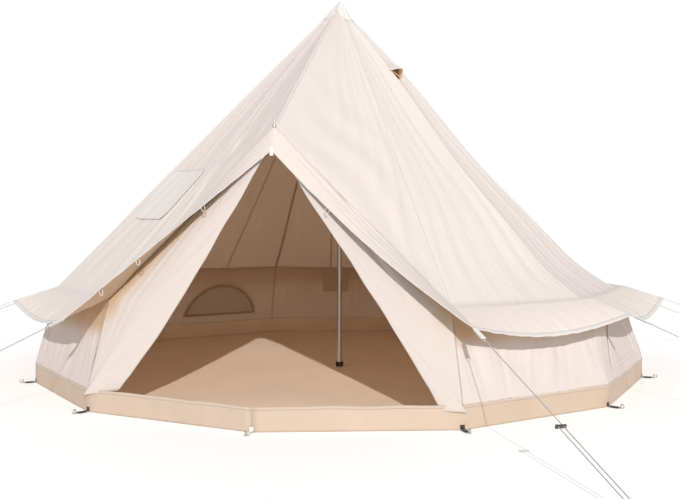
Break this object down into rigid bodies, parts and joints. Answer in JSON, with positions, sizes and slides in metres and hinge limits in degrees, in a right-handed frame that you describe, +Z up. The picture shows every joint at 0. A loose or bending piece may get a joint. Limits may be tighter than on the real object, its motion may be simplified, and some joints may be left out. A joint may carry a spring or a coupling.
{
  "type": "bell tent on poles",
  "caption": "Twelve-sided canvas bell tent on a centre pole, with an A-frame door, low walls, sewn-in groundsheet and pegged guy lines.",
  "frame": {"origin": "on the ground under the centre pole, at the middle of the groundsheet's underside", "axes": "+Z up, -Y out through the door, +X to the right of someone facing the door from outside"},
  "size_m": [6.9666, 6.5063, 2.52],
  "materials": {
    "canvas": "cotton canvas, matt",
    "groundsheet_pvc": "beige coated fabric",
    "insect_mesh": "fine mesh",
    "heat_cloth": "heat-proof coated cloth",
    "pole_steel": "galvanised tube",
    "zinc_steel": "zinc plated",
    "black_rubber": "moulded",
    "webbing": "woven tape",
    "rope": "braided cord",
    "slider_plastic": "moulded"
  },
  "bodies": {
    "tent": {"a_frame_feet": "black_rubber", "a_frame_hub": "pole_steel", "a_frame_lower_legs": "pole_steel", "a_frame_upper_legs": "pole_steel", "base_loops": "webbing", "base_pegs": "zinc_steel", "base_rings": "zinc_steel", "centre_pole_cap": "black_rubber", "centre_pole_foot": "black_rubber", "centre_pole_lower": "pole_steel", "centre_pole_middle": "pole_steel", "centre_pole_spigots": "pole_steel", "centre_pole_upper": "pole_steel", "eave_skirt": "canvas", "front_panels": "canvas", "groundsheet_floor": "groundsheet_pvc", "groundsheet_kerb": "groundsheet_pvc", "guy_pegs": "zinc_steel", "guy_rings": "zinc_steel", "guy_rope_01": "rope", "guy_rope_02": "rope", "guy_rope_03": "rope", "guy_rope_04": "rope", "guy_rope_05": "rope", "guy_rope_06": "rope", "guy_rope_07": "rope", "guy_rope_08": "rope", "guy_rope_09": "rope", "guy_rope_10": "rope", "guy_rope_11": "rope", "guy_straps": "webbing", "hood_brim": "canvas", "hood_grommet": "zinc_steel", "hood_panels": "canvas", "inner_pocket": "canvas", "peak_cap": "canvas", "roof_panels": "canvas", "stove_patch": "heat_cloth", "vent_hoods": "canvas", "vent_meshes": "insect_mesh", "wall_panels": "canvas", "window_meshes": "insect_mesh"},
    "slider_01": {"guy_slider_01": "slider_plastic"},
    "slider_02": {"guy_slider_02": "slider_plastic"},
    "slider_03": {"guy_slider_03": "slider_plastic"},
    "slider_04": {"guy_slider_04": "slider_plastic"},
    "slider_05": {"guy_slider_05": "slider_plastic"},
    "slider_06": {"guy_slider_06": "slider_plastic"},
    "slider_07": {"guy_slider_07": "slider_plastic"},
    "slider_08": {"guy_slider_08": "slider_plastic"},
    "slider_09": {"guy_slider_09": "slider_plastic"},
    "slider_10": {"guy_slider_10": "slider_plastic"},
    "slider_11": {"guy_slider_11": "slider_plastic"},
    "window_cover_1_body": {"window_cover_1": "canvas"},
    "window_cover_2_body": {"window_cover_2": "canvas"},
    "window_cover_3_body": {"window_cover_3": "canvas"},
    "window_cover_4_body": {"window_cover_4": "canvas"},
    "stove_flap_body": {"stove_flap": "canvas"},
    "door_flap_left_body": {"door_flap_left": "canvas"},
    "door_flap_right_body": {"door_flap_right": "canvas"}
  },
  "joints": [
    {"name": "guy_slider_01_slide", "type": "slide", "parent": "tent", "child": "slider_01", "axis": [-0.4702, 0.8144, 0.3402], "range_m": [0, 0.35]},
    {"name": "guy_slider_02_slide", "type": "slide", "parent": "tent", "child": "slider_02", "axis": [-0.8144, 0.4702, 0.3402], "range_m": [0, 0.35]},
    {"name": "guy_slider_03_slide", "type": "slide", "parent": "tent", "child": "slider_03", "axis": [-0.9404, 0, 0.3402], "range_m": [0, 0.35]},
    {"name": "guy_slider_04_slide", "type": "slide", "parent": "tent", "child": "slider_04", "axis": [-0.8144, -0.4702, 0.3402], "range_m": [0, 0.35]},
    {"name": "guy_slider_05_slide", "type": "slide", "parent": "tent", "child": "slider_05", "axis": [-0.4702, -0.8144, 0.3402], "range_m": [0, 0.35]},
    {"name": "guy_slider_06_slide", "type": "slide", "parent": "tent", "child": "slider_06", "axis": [0, -0.9404, 0.3402], "range_m": [0, 0.35]},
    {"name": "guy_slider_07_slide", "type": "slide", "parent": "tent", "child": "slider_07", "axis": [0.4702, -0.8144, 0.3402], "range_m": [0, 0.35]},
    {"name": "guy_slider_08_slide", "type": "slide", "parent": "tent", "child": "slider_08", "axis": [0.8144, -0.4702, 0.3402], "range_m": [0, 0.35]},
    {"name": "guy_slider_09_slide", "type": "slide", "parent": "tent", "child": "slider_09", "axis": [0.9404, 0, 0.3402], "range_m": [0, 0.35]},
    {"name": "guy_slider_10_slide", "type": "slide", "parent": "tent", "child": "slider_10", "axis": [0.8144, 0.4702, 0.3402], "range_m": [0, 0.35]},
    {"name": "guy_slider_11_slide", "type": "slide", "parent": "tent", "child": "slider_11", "axis": [0.4702, 0.8144, 0.3402], "range_m": [0, 0.35]},
    {"name": "window_cover_1_hinge", "type": "hinge", "parent": "tent", "child": "window_cover_1_body", "pos_m": [1.85314, -0.49655, 0.17544], "axis": [0.2588, 0.9659, 0], "range_deg": [0, 120]},
    {"name": "window_cover_2_hinge", "type": "hinge", "parent": "tent", "child": "window_cover_2_body", "pos_m": [1.35659, 1.35659, 0.17544], "axis": [-0.7071, 0.7071, 0], "range_deg": [0, 120]},
    {"name": "window_cover_3_hinge", "type": "hinge", "parent": "tent", "child": "window_cover_3_body", "pos_m": [-1.85314, -0.49655, 0.17544], "axis": [0.2588, -0.9659, 0], "range_deg": [0, 120]},
    {"name": "window_cover_4_hinge", "type": "hinge", "parent": "tent", "child": "window_cover_4_body", "pos_m": [-1.35659, 1.35659, 0.17544], "axis": [-0.7071, -0.7071, 0], "range_deg": [0, 120]},
    {"name": "stove_flap_hinge", "type": "hinge", "parent": "tent", "child": "stove_flap_body", "pos_m": [-0.78616, -0.78616, 1.34088], "axis": [-0.7071, 0.7071, 0], "range_deg": [0, 150]},
    {"name": "door_flap_left_hinge", "type": "hinge", "parent": "tent", "child": "door_flap_left_body", "pos_m": [0, -1.59505, 1.523], "axis": [-0.5786, -0.0793, -0.8118], "range_deg": [0, 60]},
    {"name": "door_flap_right_hinge", "type": "hinge", "parent": "tent", "child": "door_flap_right_body", "pos_m": [0, -1.59505, 1.523], "axis": [-0.5786, 0.0793, 0.8118], "range_deg": [0, 60]}
  ]
}
